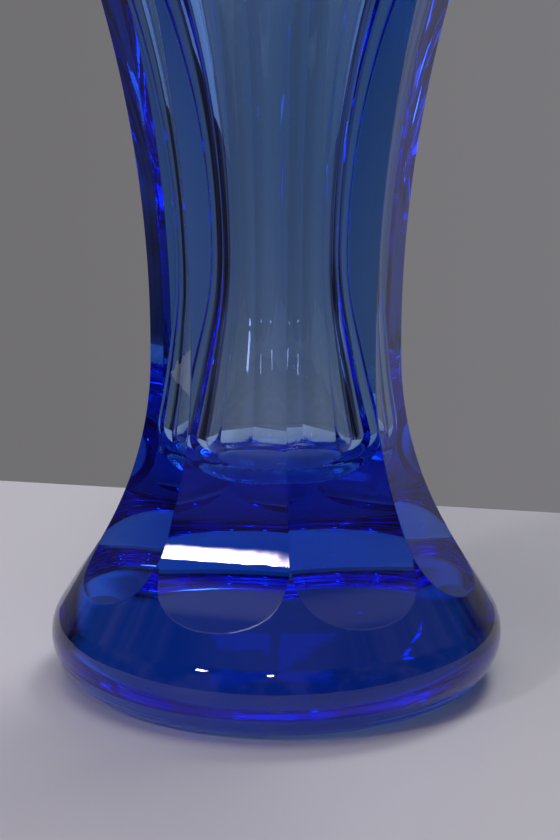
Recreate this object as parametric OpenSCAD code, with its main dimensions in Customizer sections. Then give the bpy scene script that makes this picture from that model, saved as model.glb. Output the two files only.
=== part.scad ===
// Cut crystal vase: one piece of heavy blue crystal with a solid round foot, a drawn-in
// waist and a flaring mouth. The blank is round. Flat-sided panels are cut down its side,
// and each one runs out on the foot as a rounded scallop. The bowl inside is round.
// Millimetres, +Z up, origin at the centre of the flat base. A ridge faces -Y.

/* [Overall] */
// Height from the base to the rim
height = 240; // [225:1:250]
// Number of panels cut around the side
panels = 8; // [6:1:12]

/* [Foot] */
// Diameter of the foot at its widest
foot_d = 119; // [114:1:126]
// Radius of the rounded edge of the foot
foot_edge_r = 13; // [12:0.5:13]
// Lean of the shoulder above the foot edge, in degrees from upright
shoulder_lean = 33; // [33:0.5:33.5]
// Height at which the straight shoulder starts to curve upright
shoulder_top = 35; // [33:0.5:35.5]
// Radius of that curve in the round blank
blank_blend_r = 49; // [42:1:49]
// Radius of the flare of the round blank, above the blend
blank_flare_r = 400; // [360:10:440]

/* [Panels] */
// Width across opposite panels at the waist
waist_d = 60.2; // [56:0.2:64]
// Height of the waist, where the panels stand upright
waist_z = 92; // [86:1:98]
// Radius of the panels' curve above the waist
flare_r = 350; // [320:5:400]
// Radius of the panels' curve between the waist and the foot
sweep_r = 100; // [90:1:110]
// Height at which the flare gives way to the sweep
sweep_top = 84; // [80:1:86]
// Radius of the cutting wheel where a panel runs out on the foot
runout_r = 41; // [37:1:45]
// Height at which the sweep gives way to the run-out
runout_top = 41.5; // [40.5:0.5:42.5]

/* [Bowl] */
// Height of the bowl's floor above the base
bowl_floor = 54.5; // [50:0.5:58]
// Radius of the curve between the floor and the wall
bowl_corner_r = 11; // [8:0.5:13]
// Lean of the straight wall above that curve, in degrees from upright
bowl_lean = 13.3; // [11:0.1:15]
// Diameter of the bowl at its narrowest
bowl_waist_d = 27.2; // [24:0.2:32]
// Height at which the bowl is narrowest
bowl_waist_z = 115.5; // [112:0.5:120]
// Radius of the curve from the straight wall to the narrowest place
bowl_throat_r = 80; // [60:5:100]
// Radius of the wall's curve above the narrowest place
bowl_flare_r = 205; // [200:5:240]

/* [Rim] */
// Width of the bevels along both edges of the rim
rim_bevel = 1; // [0.5:0.1:1.5]

/* [Hidden] */
$fn = 180;
overshoot = 5;
panel_angle = 360 / panels;

// Point on a circle of radius r about c, in the direction a
function on_circle(c, r, a) = c + r * [cos(a), sin(a)];
// Centre of a concave arc of radius r that starts at p, where the outline leans a degrees inwards
function arc_centre(p, r, a) = p + r * [cos(a), sin(a)];

// Outline of the round blank, as [distance from the axis, height]
foot_edge_c = [foot_d / 2 - foot_edge_r, foot_edge_r];
shoulder_foot = on_circle(foot_edge_c, foot_edge_r, shoulder_lean);
shoulder_rise = shoulder_top - shoulder_foot.y;
shoulder_head = shoulder_foot + shoulder_rise * [-tan(shoulder_lean), 1];
blend_c = arc_centre(shoulder_head, blank_blend_r, shoulder_lean);
blank_neck_r = blend_c.x - blank_blend_r;
blank_flare_c = [blank_neck_r + blank_flare_r, blend_c.y];

// Outline of a panel: three arcs that meet without a corner
flare_c = [waist_d / 2 + flare_r, waist_z];
sweep_lean = asin((waist_z - sweep_top) / flare_r);
sweep_head = on_circle(flare_c, flare_r, 180 + sweep_lean);
sweep_c = arc_centre(sweep_head, sweep_r, sweep_lean);
runout_lean = asin((sweep_c.y - runout_top) / sweep_r);
runout_head = on_circle(sweep_c, sweep_r, 180 + runout_lean);
runout_c = arc_centre(runout_head, runout_r, runout_lean);
rim_apothem = flare_c.x - sqrt(pow(flare_r, 2) - pow(height - waist_z, 2));
panel_reach = 2 * runout_r;
panel_w = foot_d;

// Distance of the bowl's wall from the axis at a height above the narrowest place
function bowl_wall_r(z) = bowl_flare_c.x - sqrt(pow(bowl_flare_r, 2) - pow(z - bowl_waist_z, 2));

// Outline of the bowl
bowl_flare_c = [bowl_waist_d / 2 + bowl_flare_r, bowl_waist_z];
bowl_throat_c = [bowl_waist_d / 2 + bowl_throat_r, bowl_waist_z];
bowl_wall_head = on_circle(bowl_throat_c, bowl_throat_r, 180 + bowl_lean);
bowl_corner_z = bowl_floor + bowl_corner_r;
bowl_wall_rise = bowl_wall_head.y - bowl_corner_z - bowl_corner_r * sin(bowl_lean);
bowl_wall_foot = bowl_wall_head + bowl_wall_rise * [tan(bowl_lean), -1];
bowl_corner_c = on_circle(bowl_wall_foot, bowl_corner_r, 180 + bowl_lean);
bowl_bevel_r = rim_bevel + bowl_wall_r(height);
bowl_bevel_slope = (bowl_bevel_r - bowl_wall_r(height - rim_bevel)) / rim_bevel;

// The part of a circle that lies between two heights
module circle_between(c, r, low, high) {
    intersection() {
        translate(c)
            circle(r = r);
        translate([c.x - 2 * r, low])
            square([4 * r, high - low]);
    }
}

// Half outline of the round blank: rounded foot edge, shoulder, blend and flare
module blank_outline() {
    translate(foot_edge_c)
        circle(r = foot_edge_r);
    difference() {
        polygon([
            [0, 0], [foot_edge_c.x, 0], foot_edge_c, shoulder_foot,
            shoulder_head, blend_c, [0, blend_c.y]
        ]);
        translate(blend_c)
            circle(r = blank_blend_r);
    }
    difference() {
        translate([0, blend_c.y])
            square([blank_flare_c.x, height - blend_c.y]);
        translate(blank_flare_c)
            circle(r = blank_flare_r);
    }
}

// What one panel takes away, seen along the panel: all that lies outside its outline
module panel_outline() {
    circle_between(flare_c, flare_r, sweep_top, height + overshoot);
    circle_between(sweep_c, sweep_r, runout_top, sweep_top);
    circle_between(runout_c, runout_r, runout_c.y - runout_r, runout_top);
    polygon([
        [rim_apothem - rim_bevel - overshoot, height + overshoot],
        [rim_apothem, height - rim_bevel],
        [rim_apothem + panel_reach, height - rim_bevel],
        [rim_apothem + panel_reach, height + overshoot]
    ]);
}

// All panels, each midway between two ridges
module panel_cuts() {
    for (i = [0 : panels - 1])
        rotate([0, 0, (i + 0.5) * panel_angle - 90])
            translate([0, panel_w / 2, 0])
                rotate([90, 0, 0])
                    linear_extrude(height = panel_w)
                        panel_outline();
}

// Half outline of the bowl: floor, rounded corner, straight wall, throat, flare and rim bevel
module bowl_outline() {
    intersection() {
        translate(bowl_corner_c)
            circle(r = bowl_corner_r);
        translate([0, bowl_floor])
            square([bowl_corner_c.x + bowl_corner_r, 2 * bowl_corner_r]);
    }
    difference() {
        polygon([
            [0, bowl_floor], [bowl_corner_c.x, bowl_floor], bowl_corner_c,
            bowl_wall_foot, bowl_wall_head, bowl_throat_c, [bowl_flare_c.x, height], [0, height]
        ]);
        translate(bowl_throat_c)
            circle(r = bowl_throat_r);
        circle_between(bowl_flare_c, bowl_flare_r, bowl_waist_z, height + overshoot);
    }
    polygon([
        [0, height - bowl_bevel_r / bowl_bevel_slope],
        [bowl_bevel_r + bowl_bevel_slope * overshoot, height + overshoot],
        [0, height + overshoot]
    ]);
}

module vase_body() {
    color("royalblue")
        difference() {
            rotate_extrude()
                blank_outline();
            panel_cuts();
            rotate_extrude()
                bowl_outline();
        }
}

vase_body();
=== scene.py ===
"""Cut crystal vase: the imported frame, dressed as one piece of polished blue crystal."""

from math import asin, atan2, cos, hypot, pi, radians, sin, tan

import bpy
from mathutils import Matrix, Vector


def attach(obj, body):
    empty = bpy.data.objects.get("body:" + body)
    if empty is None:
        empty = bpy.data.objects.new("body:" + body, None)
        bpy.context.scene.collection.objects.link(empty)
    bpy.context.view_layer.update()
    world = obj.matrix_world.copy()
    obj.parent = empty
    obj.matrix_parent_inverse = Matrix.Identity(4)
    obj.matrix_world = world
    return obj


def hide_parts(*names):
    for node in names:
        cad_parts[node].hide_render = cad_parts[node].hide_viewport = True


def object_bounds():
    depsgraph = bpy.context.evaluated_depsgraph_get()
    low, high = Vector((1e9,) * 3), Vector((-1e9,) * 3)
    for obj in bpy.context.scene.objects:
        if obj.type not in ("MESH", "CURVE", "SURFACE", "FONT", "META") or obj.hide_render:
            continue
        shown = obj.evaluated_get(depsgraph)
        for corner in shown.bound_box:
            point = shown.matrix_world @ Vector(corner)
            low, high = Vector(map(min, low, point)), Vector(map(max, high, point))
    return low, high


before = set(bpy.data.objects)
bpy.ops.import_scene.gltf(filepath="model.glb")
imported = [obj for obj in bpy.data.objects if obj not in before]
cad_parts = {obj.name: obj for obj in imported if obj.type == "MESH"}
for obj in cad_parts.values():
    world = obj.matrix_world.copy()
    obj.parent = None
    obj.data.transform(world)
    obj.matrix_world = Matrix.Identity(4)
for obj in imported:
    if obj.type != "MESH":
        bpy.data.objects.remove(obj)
cad_lo, cad_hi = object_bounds()

# Driving dimensions, in metres. The height comes from the frame.
HEIGHT = cad_hi.z
PANELS = 8
FOOT_R = 0.0595
FOOT_EDGE_R = 0.013
SHOULDER_LEAN = radians(33)
SHOULDER_TOP = 0.035
BLANK_BLEND_R = 0.049
WAIST_R = 0.0301
WAIST_Z = 0.092
FLARE_R = 0.350
SWEEP_R = 0.100
SWEEP_TOP = 0.084
RUNOUT_R = 0.041
RUNOUT_TOP = 0.0415
BOWL_FLOOR = 0.0545
BOWL_CORNER_R = 0.011
BOWL_LEAN = radians(13.3)
BOWL_WAIST_R = 0.0136
BOWL_WAIST_Z = 0.1155
BOWL_THROAT_R = 0.080
BOWL_FLARE_R = 0.205
RIM_BEVEL = 0.001

BEVEL_ROUND = RIM_BEVEL / 4  # radius left on each corner of the bevels
RIDGE_ROUND = 0.0006  # radius left on each ridge by polishing
CREASE = 0.00025  # half width of the polished edge round each scallop
STEP = 2 * pi / PANELS
HALF = STEP / 2


# ---------------------------------------------------------------- camera

PHOTO_AZIMUTH = radians(-4.5)
CAMERA_BACK = 0.560
CAMERA_ASIDE = 0.00094
CAMERA_UP = 0.1929
CAMERA_DOWN = radians(12.5)
LENS_MM = 94.3
SENSOR_MM = 36
CLIP_START = 0.01


def polar(azimuth, radius, z):
    """Point at an azimuth from -Y towards +X."""
    return Vector((radius * sin(azimuth), -radius * cos(azimuth), z))


def make_camera():
    data = bpy.data.cameras.new("camera")
    data.lens = LENS_MM
    data.sensor_width = SENSOR_MM
    data.clip_start = CLIP_START
    camera = bpy.data.objects.new("camera", data)
    bpy.context.scene.collection.objects.link(camera)
    aside = polar(PHOTO_AZIMUTH + pi / 2, CAMERA_ASIDE, 0)
    camera.location = polar(PHOTO_AZIMUTH, CAMERA_BACK, CAMERA_UP) + aside
    camera.rotation_euler = (pi / 2 - CAMERA_DOWN, 0, PHOTO_AZIMUTH)
    bpy.context.scene.camera = camera


make_camera()


# ---------------------------------------------------------------- outlines
# An outline point is (distance from the axis, height, normal outwards, normal upwards).


def hollow_arc(centre, radius, z):
    """Outline point at a height, on an arc whose centre lies outside the glass."""
    lean = asin((centre[1] - z) / radius)
    return centre[0] - radius * cos(lean), z, cos(lean), sin(lean)


def rounded(centre, radius, angles):
    """Outline points on an arc whose centre lies in the glass, at angles above level."""
    return [(centre[0] + radius * cos(a), centre[1] + radius * sin(a), cos(a), sin(a)) for a in angles]


def next_centre(centre, radius, z, next_radius):
    """Centre of the hollow arc that takes over from another one at a height, without a corner."""
    lean = asin((centre[1] - z) / radius)
    growth = next_radius - radius
    return centre[0] + growth * cos(lean), centre[1] + growth * sin(lean)


flare_c = (WAIST_R + FLARE_R, WAIST_Z)
sweep_c = next_centre(flare_c, FLARE_R, SWEEP_TOP, SWEEP_R)
runout_c = next_centre(sweep_c, SWEEP_R, RUNOUT_TOP, RUNOUT_R)


def panel_at(z):
    """Outline of the middle of a panel."""
    if z >= SWEEP_TOP:
        return hollow_arc(flare_c, FLARE_R, z)
    if z >= RUNOUT_TOP:
        return hollow_arc(sweep_c, SWEEP_R, z)
    return hollow_arc(runout_c, RUNOUT_R, z)


edge_c = (FOOT_R - FOOT_EDGE_R, FOOT_EDGE_R)
shoulder_foot_r = edge_c[0] + FOOT_EDGE_R * cos(SHOULDER_LEAN)
shoulder_foot_z = edge_c[1] + FOOT_EDGE_R * sin(SHOULDER_LEAN)


def shoulder_at(z):
    """Distance of the straight shoulder from the axis."""
    return shoulder_foot_r - (z - shoulder_foot_z) * tan(SHOULDER_LEAN)


blend_r = shoulder_at(SHOULDER_TOP) + BLANK_BLEND_R * cos(SHOULDER_LEAN)
blend_c = (blend_r, SHOULDER_TOP + BLANK_BLEND_R * sin(SHOULDER_LEAN))


def blank_at(z):
    """Outline of the round, uncut shoulder above the foot's edge."""
    if z < SHOULDER_TOP:
        return shoulder_at(z), z, cos(SHOULDER_LEAN), sin(SHOULDER_LEAN)
    return hollow_arc(blend_c, BLANK_BLEND_R, z)


bowl_flare_c = (BOWL_WAIST_R + BOWL_FLARE_R, BOWL_WAIST_Z)
bowl_throat_c = (BOWL_WAIST_R + BOWL_THROAT_R, BOWL_WAIST_Z)
wall_head_z = BOWL_WAIST_Z - BOWL_THROAT_R * sin(BOWL_LEAN)
wall_head_r = bowl_throat_c[0] - BOWL_THROAT_R * cos(BOWL_LEAN)
corner_z = BOWL_FLOOR + BOWL_CORNER_R
wall_foot_z = corner_z + BOWL_CORNER_R * sin(BOWL_LEAN)
wall_foot_r = wall_head_r + (wall_head_z - wall_foot_z) * tan(BOWL_LEAN)
corner_c = (wall_foot_r - BOWL_CORNER_R * cos(BOWL_LEAN), corner_z)


def bowl_at(z):
    """Outline of the bowl's wall; its normal points into the bowl."""
    if z < wall_head_z:
        r = wall_head_r + (wall_head_z - z) * tan(BOWL_LEAN)
        return r, z, -cos(BOWL_LEAN), -sin(BOWL_LEAN)
    if z < BOWL_WAIST_Z:
        r, z, out, up = hollow_arc(bowl_throat_c, BOWL_THROAT_R, z)
    else:
        r, z, out, up = hollow_arc(bowl_flare_c, BOWL_FLARE_R, z)
    return r, z, -out, -up


# ---------------------------------------------------------------- the vase

FLAT_COLUMNS = 20  # across each panel
RIDGE_COLUMNS = 6  # round each ridge
BASE_ROWS = 14  # round the foot's edge, from the base to the widest place
EDGE_ROWS = 7  # from there to the shoulder
SHOULDER_ROWS = 12
RUNOUT_ROWS = 16
SWEEP_ROWS = 30
FLARE_ROWS = 64
CORNER_ROWS = 4  # round each corner of the bevels
RIM_ROWS = 3  # round the corner between the rim and the inner bevel
BOWL_FLARE_ROWS = 70
BOWL_THROAT_ROWS = 10
BOWL_WALL_ROWS = 6
BOWL_CORNER_ROWS = 16
BEVEL_FOOT = HEIGHT - 1.4 * RIM_BEVEL  # the last plain row, just below the bevels

SCALLOP_LOW = shoulder_foot_z + 0.002  # every scallop's edge lies between these heights
SCALLOP_HIGH = RUNOUT_TOP + 0.006
SEARCH_STEPS = 40


def panel_columns():
    """Every column of one panel, left to right: ('flat', -1 to 1) or ('ridge', 0 to 1)."""
    flats = [("flat", sin(pi / 2 * (2 * i / FLAT_COLUMNS - 1))) for i in range(FLAT_COLUMNS + 1)]
    ridge = [("ridge", i / RIDGE_COLUMNS) for i in range(1, RIDGE_COLUMNS)]
    return flats + ridge


def cut_point(panel, column, outline):
    """Point and normal where a column crosses a many-sided outline with rounded corners."""
    apothem, z, out, up = outline
    kind, t = column
    facing = (panel + 0.5) * STEP
    if kind == "flat":
        across = t * (apothem - RIDGE_ROUND) * tan(HALF)
        p = polar(facing, apothem, z) + polar(facing + pi / 2, across, 0)
        return p, polar(facing, out, up)
    ridge = facing + HALF
    turn = facing + t * STEP
    core = (apothem - RIDGE_ROUND) / cos(HALF)
    p = polar(ridge, core, z) + polar(turn, RIDGE_ROUND, 0)
    n = polar(turn, out, up * cos(turn - ridge) / cos(HALF))
    return p, n.normalized()


def round_point(azimuth, outline):
    """Point and normal on a surface of revolution."""
    r, z, out, up = outline
    return polar(azimuth, r, z), polar(azimuth, out, up)


def scallop_height(column):
    """Height at which a column of the cut meets the round shoulder, found by halving."""
    low, high = SCALLOP_LOW, SCALLOP_HIGH
    for _ in range(SEARCH_STEPS):
        mid = (low + high) / 2
        cut = cut_point(0, column, panel_at(mid))[0]
        if hypot(cut.x, cut.y) > blank_at(mid)[0]:
            low = mid
        else:
            high = mid
    return (low + high) / 2


def spread(low, high, steps, skip_first=True):
    """Evenly spaced values from low to high."""
    return [low + (high - low) * i / steps for i in range(int(skip_first), steps + 1)]


def rim_outline():
    """The bevel along the outside of the rim, with softened corners."""
    start = HEIGHT - RIM_BEVEL
    apothem, _, out, up = panel_at(start)
    lean = atan2(up, out)
    low_c = (apothem - BEVEL_ROUND * cos(lean), start - BEVEL_ROUND * sin(lean))
    high_z = HEIGHT - BEVEL_ROUND
    high_c = (low_c[0] - (high_z - low_c[1]), high_z)
    rows = rounded(low_c, BEVEL_ROUND, spread(lean, pi / 4, CORNER_ROWS, False))
    return rows + rounded(high_c, BEVEL_ROUND, spread(pi / 4, pi / 2, CORNER_ROWS, False))


def outer_column(panel, column):
    """Points and normals of the outside, from the flat base up to the flat rim."""
    meet = scallop_height(column)
    edge, edge_normal = cut_point(panel, column, panel_at(meet))
    azimuth = atan2(edge.x, -edge.y)
    round_normal = round_point(azimuth, blank_at(meet))[1]

    turns = spread(-pi / 2, 0, BASE_ROWS, False) + spread(0, SHOULDER_LEAN, EDGE_ROWS)
    uncut = rounded(edge_c, FOOT_EDGE_R, turns)
    uncut += [blank_at(z) for z in spread(shoulder_foot_z, meet - CREASE, SHOULDER_ROWS)]

    levels = spread(meet + CREASE, SCALLOP_HIGH, RUNOUT_ROWS, False)
    levels += spread(SCALLOP_HIGH, SWEEP_TOP, SWEEP_ROWS)
    levels += spread(SWEEP_TOP, BEVEL_FOOT, FLARE_ROWS)
    cut = [panel_at(z) for z in levels] + rim_outline()

    made = [round_point(azimuth, outline) for outline in uncut]
    made.append((edge, (edge_normal + round_normal).normalized()))
    return made + [cut_point(panel, column, outline) for outline in cut]


def bowl_column(azimuth):
    """Points and normals of the inside, from the rim down to the floor's edge."""
    rim_r = bowl_at(HEIGHT)[0] + RIM_BEVEL
    rim_c = (rim_r, HEIGHT - BEVEL_ROUND)
    outlines = [(rim_r + BEVEL_ROUND, HEIGHT, 0, 1)]
    outlines += rounded(rim_c, BEVEL_ROUND, spread(pi / 2, 3 * pi / 4, RIM_ROWS))

    r, z, out, up = bowl_at(HEIGHT - RIM_BEVEL)
    lean = atan2(up, out) % (2 * pi)
    low_c = (r - BEVEL_ROUND * out, z - BEVEL_ROUND * up)
    outlines += rounded(low_c, BEVEL_ROUND, spread(3 * pi / 4, lean, CORNER_ROWS, False))

    levels = spread(BEVEL_FOOT, BOWL_WAIST_Z, BOWL_FLARE_ROWS)
    levels += spread(BOWL_WAIST_Z, wall_head_z, BOWL_THROAT_ROWS)
    levels += spread(wall_head_z, wall_foot_z, BOWL_WALL_ROWS)
    outlines += [bowl_at(level) for level in levels]
    for r, z, out, up in rounded(corner_c, BOWL_CORNER_R, spread(BOWL_LEAN, -pi / 2, BOWL_CORNER_ROWS)):
        outlines.append((r, z, -out, -up))
    return [round_point(azimuth, outline) for outline in outlines]


def vase_columns():
    """All columns round the vase. Each runs from the base, over the rim, down to the bowl's floor."""
    columns = []
    for panel in range(PANELS):
        for column in panel_columns():
            outer = outer_column(panel, column)
            tip = outer[-1][0]
            columns.append(outer + bowl_column(atan2(tip.x, -tip.y)))
    return columns


def make_vase():
    columns = vase_columns()
    count, rows = len(columns), len(columns[0])
    verts = [p for column in columns for p, _ in column]
    normals = [n for column in columns for _, n in column]
    base, floor = len(verts), len(verts) + 1
    verts += [Vector((0, 0, 0)), Vector((0, 0, BOWL_FLOOR))]
    normals += [Vector((0, 0, -1)), Vector((0, 0, 1))]

    starts = [(c * rows, (c + 1) % count * rows) for c in range(count)]
    faces = []
    for here, there in starts:
        for row in range(rows - 1):
            faces.append((here + row, there + row, there + row + 1, here + row + 1))
    for here, there in starts:
        faces.append((base, there, here))
        faces.append((floor, here + rows - 1, there + rows - 1))

    mesh = bpy.data.meshes.new("vase")
    mesh.from_pydata(verts, [], faces)
    mesh.validate()
    mesh.polygons.foreach_set("use_smooth", [True] * len(mesh.polygons))
    mesh.normals_split_custom_set_from_vertices(normals)
    mesh.update()
    vase = bpy.data.objects.new("vase", mesh)
    bpy.context.scene.collection.objects.link(vase)
    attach(vase, "root")
    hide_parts("vase_body")
    return vase


# ---------------------------------------------------------------- shader helpers
# Each one adds a node to a tree and returns its output.


def node(tree, kind, operation=None):
    """New shader node, with its operation where it has one."""
    made = tree.nodes.new("ShaderNode" + kind)
    if operation:
        made.operation = operation
    return made


def feed(tree, socket, value):
    """Give an input a constant or another node's output."""
    if isinstance(value, bpy.types.NodeSocket):
        tree.links.new(value, socket)
    else:
        socket.default_value = value


def combine(tree, operation, first, second):
    """Result of a sum done on two numbers."""
    made = node(tree, "Math", operation)
    feed(tree, made.inputs[0], first)
    feed(tree, made.inputs[1], second)
    return made.outputs["Value"]


def stretched(tree, vector, factors):
    """Vector with each part multiplied by its own factor."""
    made = node(tree, "VectorMath", "MULTIPLY")
    feed(tree, made.inputs[0], vector)
    feed(tree, made.inputs[1], factors)
    return made.outputs["Vector"]


def along(tree, way, direction):
    """Cosine of the angle between the way looked and a fixed direction."""
    made = node(tree, "VectorMath", "DOT_PRODUCT")
    feed(tree, made.inputs[0], way)
    feed(tree, made.inputs[1], direction)
    return made.outputs["Value"]


def noise(tree, vector, scale, detail):
    """Cloudy value from 0 to 1."""
    made = node(tree, "TexNoise")
    feed(tree, made.inputs["Vector"], vector)
    feed(tree, made.inputs["Scale"], scale)
    feed(tree, made.inputs["Detail"], detail)
    return made.outputs["Fac"]


def smooth_step(tree, value, low, high):
    """Value that rises smoothly from 0 at low to 1 at high."""
    made = node(tree, "MapRange")
    made.interpolation_type = "SMOOTHSTEP"
    feed(tree, made.inputs["Value"], value)
    feed(tree, made.inputs["From Min"], low)
    feed(tree, made.inputs["From Max"], high)
    return made.outputs["Result"]


def blend(tree, amount, low, high):
    """Mix of two colours."""
    made = node(tree, "Mix")
    made.data_type = "RGBA"
    feed(tree, made.inputs["Factor"], amount)
    feed(tree, made.inputs["A"], low)
    feed(tree, made.inputs["B"], high)
    return made.outputs["Result"]


def bump(tree, height, depth):
    """Bump node, whose own Normal input can take an earlier bump."""
    made = node(tree, "Bump")
    feed(tree, made.inputs["Height"], height)
    feed(tree, made.inputs["Distance"], depth)
    return made


def new_material(name):
    """Material with its node tree and its surface shader."""
    mat = bpy.data.materials.new(name)
    mat.use_nodes = True
    return mat, mat.node_tree, mat.node_tree.nodes["Principled BSDF"]


# ---------------------------------------------------------------- crystal

IOR = 1.54
ABSORPTION_PER_M = 40
CRYSTAL_COLOUR = (0.0, 0.47, 0.965, 1)
CLEAN = (1, 1, 1, 1)
FILMED = (0.965, 0.97, 0.985, 1)  # tint where a thin film of handling dulls the polish
FILM_SCALE = 38  # noise cells per metre
FILM_DETAIL = 5
FILM_EDGES = (0.46, 0.72)  # noise values between which the film thickens
FILM_ROUGHNESS = 0.035
RIPPLE_SCALE = 200  # noise cells per metre across the faces
RIPPLE_STRETCH = 0.03  # the ripples run up the vase
RIPPLE_DEPTH = 0.00002
SEED_SCALE = 900  # noise cells per metre
SEED_DEPTH = 0.0002
SEED_TOP = 0.066  # height at which the bowl is free of seeds
SEED_MARGIN = 0.001


def seed_pattern(tree, place):
    """Fine unevenness on the bowl's floor, which fades out up its corner."""
    parts = node(tree, "SeparateXYZ")
    feed(tree, parts.inputs["Vector"], place)
    height = parts.outputs["Z"]
    from_axis = node(tree, "VectorMath", "LENGTH")
    feed(tree, from_axis.inputs[0], stretched(tree, place, (1, 1, 0)))

    seeds = noise(tree, place, SEED_SCALE, 1)
    seeds = combine(tree, "MULTIPLY", seeds, smooth_step(tree, height, SEED_TOP, BOWL_FLOOR))
    in_bowl = combine(tree, "LESS_THAN", from_axis.outputs["Value"], wall_foot_r + SEED_MARGIN)
    seeds = combine(tree, "MULTIPLY", seeds, in_bowl)
    above_base = combine(tree, "GREATER_THAN", height, BOWL_FLOOR - SEED_MARGIN)
    return combine(tree, "MULTIPLY", seeds, above_base)


def crystal_material():
    """Clear blue glass: the tint is in its depth, with faint polishing ripples and a seedy bowl floor."""
    mat, tree, surface = new_material("blue_crystal")
    feed(tree, surface.inputs["IOR"], IOR)
    feed(tree, surface.inputs["Transmission Weight"], 1)
    inside = node(tree, "VolumeAbsorption")
    feed(tree, inside.inputs["Color"], CRYSTAL_COLOUR)
    feed(tree, inside.inputs["Density"], ABSORPTION_PER_M)
    feed(tree, tree.nodes["Material Output"].inputs["Volume"], inside.outputs["Volume"])

    place = node(tree, "TexCoord").outputs["Object"]
    film = smooth_step(tree, noise(tree, place, FILM_SCALE, FILM_DETAIL), *FILM_EDGES)
    feed(tree, surface.inputs["Roughness"], combine(tree, "MULTIPLY", film, FILM_ROUGHNESS))
    feed(tree, surface.inputs["Base Color"], blend(tree, film, CLEAN, FILMED))

    ripples = noise(tree, stretched(tree, place, (1, 1, RIPPLE_STRETCH)), RIPPLE_SCALE, 1)
    rippled = bump(tree, ripples, RIPPLE_DEPTH)
    seeded = bump(tree, seed_pattern(tree, place), SEED_DEPTH)
    feed(tree, seeded.inputs["Normal"], rippled.outputs["Normal"])
    feed(tree, surface.inputs["Normal"], seeded.outputs["Normal"])
    return mat


# ---------------------------------------------------------------- table

# The left colour is painted light: it makes the table lighter on the left, standing in for light that falls
# there.
TABLE_PAINTED_LIGHT_LEFT = (0.56, 0.56, 0.585, 1)
TABLE_RIGHT = (0.44, 0.44, 0.46, 1)
PAINTED_LIGHT_FADE = (-0.075, 0)  # from here to here across, the left colour gives way to the right one
TABLE_ROUGHNESS = 0.45
TABLE_TOP = -0.0002  # a hair below the vase, so that the two don't share a plane
TABLE_THICKNESS = 0.03
TABLE_FRONT = -0.16
BACK_LEFT = Vector((-0.100, 0.210, TABLE_TOP))  # two points on the table's far edge
BACK_RIGHT = Vector((0.095, 0.165, TABLE_TOP))
TABLE_WING = 0.45  # how far the far edge runs on past each of those points


def table_material():
    """Pale matt paint, with painted light that makes it lighter on the left."""
    mat, tree, surface = new_material("table_top")
    parts = node(tree, "SeparateXYZ")
    feed(tree, parts.inputs["Vector"], node(tree, "TexCoord").outputs["Object"])
    # painted light: lighter on the left, fading to the table's plain colour on the right
    across = smooth_step(tree, parts.outputs["X"], *PAINTED_LIGHT_FADE)
    feed(tree, surface.inputs["Base Color"], blend(tree, across, TABLE_PAINTED_LIGHT_LEFT, TABLE_RIGHT))
    feed(tree, surface.inputs["Roughness"], TABLE_ROUGHNESS)
    return mat


def make_table():
    """A pale table that ends behind the vase, as a slab on its own."""
    wing = (BACK_RIGHT - BACK_LEFT).normalized() * TABLE_WING
    left, right = BACK_LEFT - wing, BACK_RIGHT + wing
    top = [left, right, Vector((right.x, TABLE_FRONT, TABLE_TOP)), Vector((left.x, TABLE_FRONT, TABLE_TOP))]
    bottom = [v - Vector((0, 0, TABLE_THICKNESS)) for v in top]
    faces = [(3, 2, 1, 0), (4, 5, 6, 7)]
    faces += [(i, (i + 1) % 4, (i + 1) % 4 + 4, i + 4) for i in range(4)]
    mesh = bpy.data.meshes.new("table")
    mesh.from_pydata(top + bottom, [], faces)
    table = bpy.data.objects.new("table", mesh)
    table.rotation_euler = (0, 0, PHOTO_AZIMUTH)
    table.data.materials.append(table_material())
    bpy.context.scene.collection.objects.link(table)


# ---------------------------------------------------------------- room

BACKDROP_LEFT = (0.159, 0.155, 0.163, 1)
BACKDROP_RIGHT = (0.190, 0.186, 0.199, 1)
BACKDROP_FADE = (-0.2, 0.2)  # sines of the angles left and right between which the colours mix
BACKDROP_EDGE = cos(radians(53))
BACKDROP_FULL = cos(radians(43))
ROOM_DARK = (0.004, 0.004, 0.005, 1)
ROOM_LIGHT = (0.16, 0.13, 0.19, 1)
ROOM_SQUASH = (1, 1, 0.25)  # makes the dark and light areas tall
ROOM_SCALE = 4
ROOM_DETAIL = 3
ROOM_EDGES = (0.42, 0.66)  # noise values between which dark gives way to light
CEILING = (0.16, 0.15, 0.19, 1)
CEILING_FOOT = sin(radians(38))
CEILING_FULL = sin(radians(50))
# Soft patches of light on the walls: (azimuth, elevation, colour)
GLOWS = (
    (-132, 36, (0.16, 0.22, 0.34, 1)),
    (134, 27, (0.34, 0.42, 0.50, 1)),
    (-54, 58, (0.62, 0.60, 0.70, 1)),
    (80, 57, (0.40, 0.38, 0.46, 1)),
)
GLOW_EDGE = cos(radians(14))
GLOW_FULL = cos(radians(4))
LAMP_AIM = Vector((0, 0, 0.05))


def towards(azimuth, elevation, distance=1):
    """Place at an azimuth and elevation in degrees, as seen from the vase in the photograph."""
    a, e = radians(azimuth) + PHOTO_AZIMUTH, radians(elevation)
    return polar(a, distance * cos(e), distance * sin(e))


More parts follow.
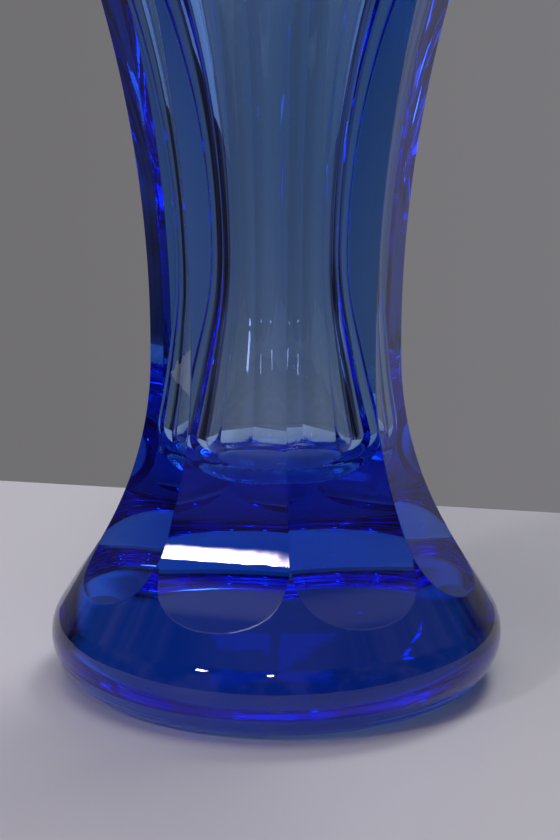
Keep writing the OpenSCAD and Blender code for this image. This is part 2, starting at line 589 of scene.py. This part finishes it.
def make_world():
    """A grey backdrop beyond the vase, and a dim room with light and dark areas and a pale ceiling."""
    world = bpy.data.worlds.new("room")
    world.use_nodes = True
    tree = world.node_tree
    way = node(tree, "TexCoord").outputs["Generated"]

    areas = noise(tree, stretched(tree, way, ROOM_SQUASH), ROOM_SCALE, ROOM_DETAIL)
    room = blend(tree, smooth_step(tree, areas, *ROOM_EDGES), ROOM_DARK, ROOM_LIGHT)
    up = along(tree, way, (0, 0, 1))
    room = blend(tree, smooth_step(tree, up, CEILING_FOOT, CEILING_FULL), room, CEILING)
    for azimuth, elevation, colour in GLOWS:
        nearness = along(tree, way, towards(azimuth, elevation))
        room = blend(tree, smooth_step(tree, nearness, GLOW_EDGE, GLOW_FULL), room, colour)

    sideways = along(tree, way, towards(90, 0))
    backdrop = blend(tree, smooth_step(tree, sideways, *BACKDROP_FADE), BACKDROP_LEFT, BACKDROP_RIGHT)
    beyond = along(tree, way, towards(180, 0))
    seen = blend(tree, smooth_step(tree, beyond, BACKDROP_EDGE, BACKDROP_FULL), room, backdrop)
    feed(tree, tree.nodes["Background"].inputs["Color"], seen)
    bpy.context.scene.world = world


def lamp(name, place, size, power, colour=(1, 1, 1)):
    """A flat soft lamp that faces the vase."""
    data = bpy.data.lights.new(name, "AREA")
    data.shape = "RECTANGLE"
    data.size, data.size_y = size
    data.energy = power
    data.color = colour
    light = bpy.data.objects.new(name, data)
    light.location = LAMP_AIM + place
    light.rotation_euler = place.to_track_quat("Z", "Y").to_euler()
    bpy.context.scene.collection.objects.link(light)
    return data


def fade_across(data, end_fade, edge_fade):
    """Let a lamp fade towards one of its ends and one of its long edges."""
    data.use_nodes = True
    tree = data.node_tree
    parts = node(tree, "SeparateXYZ")
    feed(tree, parts.inputs["Vector"], node(tree, "NewGeometry").outputs["Parametric"])
    ends = smooth_step(tree, parts.outputs["X"], *end_fade)
    edges = smooth_step(tree, parts.outputs["Y"], *edge_fade)
    feed(tree, tree.nodes["Emission"].inputs["Strength"], combine(tree, "MULTIPLY", ends, edges))


def make_lamps():
    """A small window and a spot that the flat panels mirror, and two large lamps for the table."""
    window = lamp("window", towards(-40, 31.4, 1.5), (0.17, 0.105), 12, (1, 0.86, 1))
    fade_across(window, end_fade=(1, 0.35), edge_fade=(0, 0.7))
    lamp("spot", towards(-3, 31.5, 1.5), (0.06, 0.05), 2, (1, 0.8, 1))
    lamp("key", towards(-12, 72, 1.5), (0.9, 0.9), 8)
    lamp("side", towards(140, 62, 1.6), (0.5, 0.5), 11)


vase = make_vase()
vase.data.materials.append(crystal_material())
make_table()
make_world()
make_lamps()

scene = bpy.context.scene
scene.view_settings.view_transform = "Standard"
scene.cycles.max_bounces = 32
scene.cycles.transmission_bounces = 32
scene.cycles.glossy_bounces = 16
